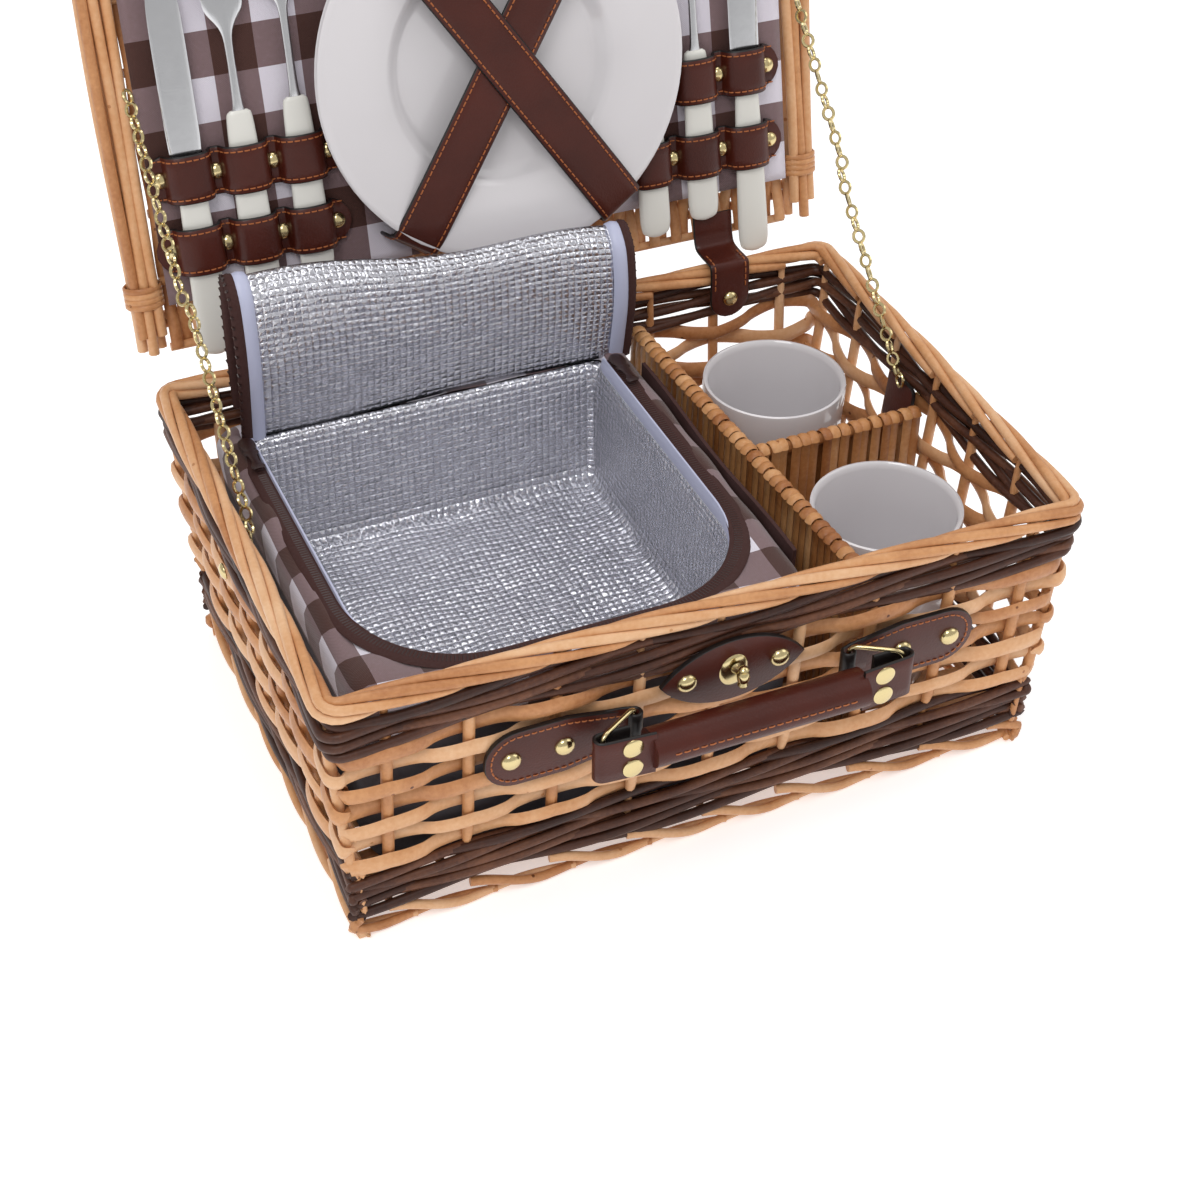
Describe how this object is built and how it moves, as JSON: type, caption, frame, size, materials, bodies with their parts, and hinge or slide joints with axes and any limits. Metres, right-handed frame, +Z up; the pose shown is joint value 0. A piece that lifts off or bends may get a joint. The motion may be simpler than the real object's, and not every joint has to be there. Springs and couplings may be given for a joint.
{
  "type": "wicker picnic basket",
  "caption": "Rectangular wicker picnic basket with its lid open: insulated bag and mugs in the base, plates and cutlery strapped in the lid, leather handle.",
  "frame": {"origin": "middle of the whole open basket's box, on the floor", "axes": "+Z up, front with the handle and lock towards -Y, hinges along X at the back"},
  "size_m": [0.4, 0.4074, 0.4766],
  "materials": {
    "willow": "natural willow, clear lacquer",
    "dark_willow": "stained willow",
    "tape": "woven tape",
    "foil": "aluminised insulating foil",
    "gingham": "woven gingham",
    "leather": "brown leather",
    "brass": "polished",
    "china": "glazed",
    "ivory": "ivory plastic handles"
  },
  "bodies": {
    "basket": {"base_floor": "willow", "base_foot_border": "willow", "base_lower_band": "dark_willow", "base_rim_border": "willow", "base_upper_band": "dark_willow", "base_weave": "willow", "chain_tab_left": "leather", "chain_tab_right": "leather", "handle_patch_left": "leather", "handle_patch_right": "leather", "hinge_leaf_base_left": "leather", "hinge_leaf_base_right": "leather", "lock_plate": "leather", "lock_stud_left": "brass", "lock_stud_right": "brass", "partition_cross": "willow", "partition_long": "willow", "patch_stud_left_inner": "brass", "patch_stud_left_outer": "brass", "patch_stud_right_inner": "brass", "patch_stud_right_outer": "brass", "turn_lock_plate": "brass"},
    "lid": {"cutlery_strap_left_lower": "leather", "cutlery_strap_left_upper": "leather", "cutlery_strap_right_lower": "leather", "cutlery_strap_right_upper": "leather", "hinge_leaf_lid_left": "leather", "hinge_leaf_lid_right": "leather", "lid_border": "willow", "lid_lining": "gingham", "lid_weave": "willow", "plate_strap_over": "leather", "plate_strap_under": "leather"},
    "cooler": {"cooler_bag": "gingham", "cooler_zip": "tape", "cooler_strap": "tape"},
    "flap": {"cooler_flap": "foil"},
    "grip": {"handle_grip": "leather"},
    "hasp": {"hasp_strap": "leather"},
    "turn_knob": {"turn_lock_knob": "brass"},
    "chain_lower_left": {"chain_lower_left": "brass"},
    "chain_lower_right": {"chain_lower_right": "brass"},
    "chain_upper_left": {"chain_upper_left": "brass"},
    "chain_upper_right": {"chain_upper_right": "brass"},
    "fork_left": {"fork_left": "ivory"},
    "fork_right": {"fork_right": "ivory"},
    "handle_ring_left": {"handle_ring_left": "brass"},
    "handle_ring_right": {"handle_ring_right": "brass"},
    "knife_left": {"knife_left": "ivory"},
    "knife_right": {"knife_right": "ivory"},
    "mug_back": {"mug_back": "china"},
    "mug_front": {"mug_front": "china"},
    "plate_back": {"plate_back": "china"},
    "plate_front": {"plate_front": "china"},
    "spoon_left": {"spoon_left": "ivory"},
    "spoon_right": {"spoon_right": "ivory"},
    "zip_pull_left": {"zip_pull_left": "brass"},
    "zip_pull_right": {"zip_pull_right": "brass"}
  },
  "joints": [
    {"name": "lid_hinge", "type": "hinge", "parent": "basket", "child": "lid", "pos_m": [0, 0.11978, 0.17027], "axis": [-1, 0, 0], "range_deg": [-103, 0]},
    {"name": "chain_lower_left_turn", "type": "hinge", "parent": "basket", "child": "chain_lower_left", "pos_m": [-0.183, -0.01122, 0.14197], "axis": [-1, 0, 0], "range_deg": [-128.01, 0.2]},
    {"name": "chain_upper_left_turn", "type": "hinge", "parent": "lid", "child": "chain_upper_left", "pos_m": [-0.183, 0.14621, 0.30785], "axis": [-1, 0, 0], "range_deg": [-0.2, 143.78]},
    {"name": "chain_lower_right_turn", "type": "hinge", "parent": "basket", "child": "chain_lower_right", "pos_m": [0.183, -0.01122, 0.14197], "axis": [-1, 0, 0], "range_deg": [-128.01, 0.2]},
    {"name": "chain_upper_right_turn", "type": "hinge", "parent": "lid", "child": "chain_upper_right", "pos_m": [0.183, 0.14621, 0.30785], "axis": [-1, 0, 0], "range_deg": [-0.2, 143.78]},
    {"name": "knife_left_slide", "type": "slide", "parent": "lid", "child": "knife_left", "axis": [0, 0.225, 0.9744], "range_m": [-0.0003, 0.0383]},
    {"name": "knife_right_slide", "type": "slide", "parent": "lid", "child": "knife_right", "axis": [0, 0.225, 0.9744], "range_m": [-0.0003, 0.0383]},
    {"name": "fork_left_slide", "type": "slide", "parent": "lid", "child": "fork_left", "axis": [0, 0.225, 0.9744], "range_m": [-0.0003, 0.0383]},
    {"name": "fork_right_slide", "type": "slide", "parent": "lid", "child": "fork_right", "axis": [0, 0.225, 0.9744], "range_m": [-0.0003, 0.0383]},
    {"name": "spoon_left_slide", "type": "slide", "parent": "lid", "child": "spoon_left", "axis": [0, 0.225, 0.9744], "range_m": [-0.0003, 0.0383]},
    {"name": "spoon_right_slide", "type": "slide", "parent": "lid", "child": "spoon_right", "axis": [0, 0.225, 0.9744], "range_m": [-0.0003, 0.0383]},
    {"name": "plate_back_slide", "type": "slide", "parent": "lid", "child": "plate_back", "axis": [0, 0.225, 0.9744], "range_m": [-0.0003, 0.0078]},
    {"name": "plate_front_slide", "type": "slide", "parent": "lid", "child": "plate_front", "axis": [0, 0.225, 0.9744], "range_m": [-0.0003, 0.0078]},
    {"name": "cooler_lift", "type": "slide", "parent": "basket", "child": "cooler", "axis": [0, 0, 1], "range_m": [0, 0.15]},
    {"name": "flap_fold", "type": "hinge", "parent": "cooler", "child": "flap", "pos_m": [0, 0.09228, 0.14037], "axis": [-1, 0, 0], "range_deg": [-90.2, 0.2], "deforming": ["cooler_flap"]},
    {"name": "zip_left_slide", "type": "slide", "parent": "cooler", "child": "zip_pull_left", "axis": [0, -1, 0], "range_m": [0, 0.12]},
    {"name": "zip_right_slide", "type": "slide", "parent": "cooler", "child": "zip_pull_right", "axis": [0, -1, 0], "range_m": [0, 0.12]},
    {"name": "mug_back_lift", "type": "slide", "parent": "basket", "child": "mug_back", "axis": [0, 0, 1], "range_m": [0, 0.15]},
    {"name": "mug_front_lift", "type": "slide", "parent": "basket", "child": "mug_front", "axis": [0, 0, 1], "range_m": [0, 0.15]},
    {"name": "turn_lock", "type": "hinge", "parent": "basket", "child": "turn_knob", "pos_m": [0.004, -0.17322, 0.1245], "axis": [0, -1, 0], "range_deg": [0, 90]},
    {"name": "handle_pull", "type": "slide", "parent": "basket", "child": "grip", "axis": [0, -1, 0], "range_m": [0, 0.003]},
    {"name": "ring_left_turn", "type": "hinge", "parent": "basket", "child": "handle_ring_left", "pos_m": [-0.0485, -0.17622, 0.106], "axis": [0, 0, 1], "range_deg": [-0.2, 8.02]},
    {"name": "ring_right_turn", "type": "hinge", "parent": "basket", "child": "handle_ring_right", "pos_m": [0.0645, -0.17622, 0.106], "axis": [0, 0, -1], "range_deg": [-0.2, 8.02]},
    {"name": "hasp_hinge", "type": "hinge", "parent": "lid", "child": "hasp", "pos_m": [0.004, 0.20134, 0.45687], "axis": [-1, 0, 0], "range_deg": [0, 100]}
  ],
  "couplings": [
    {"joint": "chain_lower_left_turn", "follows": "lid_hinge", "ratio": 1.2409},
    {"joint": "chain_upper_left_turn", "follows": "lid_hinge", "ratio": -1.394},
    {"joint": "chain_lower_right_turn", "follows": "lid_hinge", "ratio": 1.2409},
    {"joint": "chain_upper_right_turn", "follows": "lid_hinge", "ratio": -1.394},
    {"joint": "knife_left_slide", "follows": "lid_hinge", "m_per_rad": -0.02114},
    {"joint": "knife_right_slide", "follows": "lid_hinge", "m_per_rad": -0.02114},
    {"joint": "fork_left_slide", "follows": "lid_hinge", "m_per_rad": -0.02114},
    {"joint": "fork_right_slide", "follows": "lid_hinge", "m_per_rad": -0.02114},
    {"joint": "spoon_left_slide", "follows": "lid_hinge", "m_per_rad": -0.02114},
    {"joint": "spoon_right_slide", "follows": "lid_hinge", "m_per_rad": -0.02114},
    {"joint": "plate_back_slide", "follows": "lid_hinge", "m_per_rad": -0.00417},
    {"joint": "plate_front_slide", "follows": "lid_hinge", "m_per_rad": -0.00417},
    {"joint": "flap_fold", "follows": "lid_hinge", "ratio": 0.87379},
    {"joint": "ring_left_turn", "follows": "handle_pull", "rad_per_m": 45.507},
    {"joint": "ring_right_turn", "follows": "handle_pull", "rad_per_m": 45.507}
  ]
}
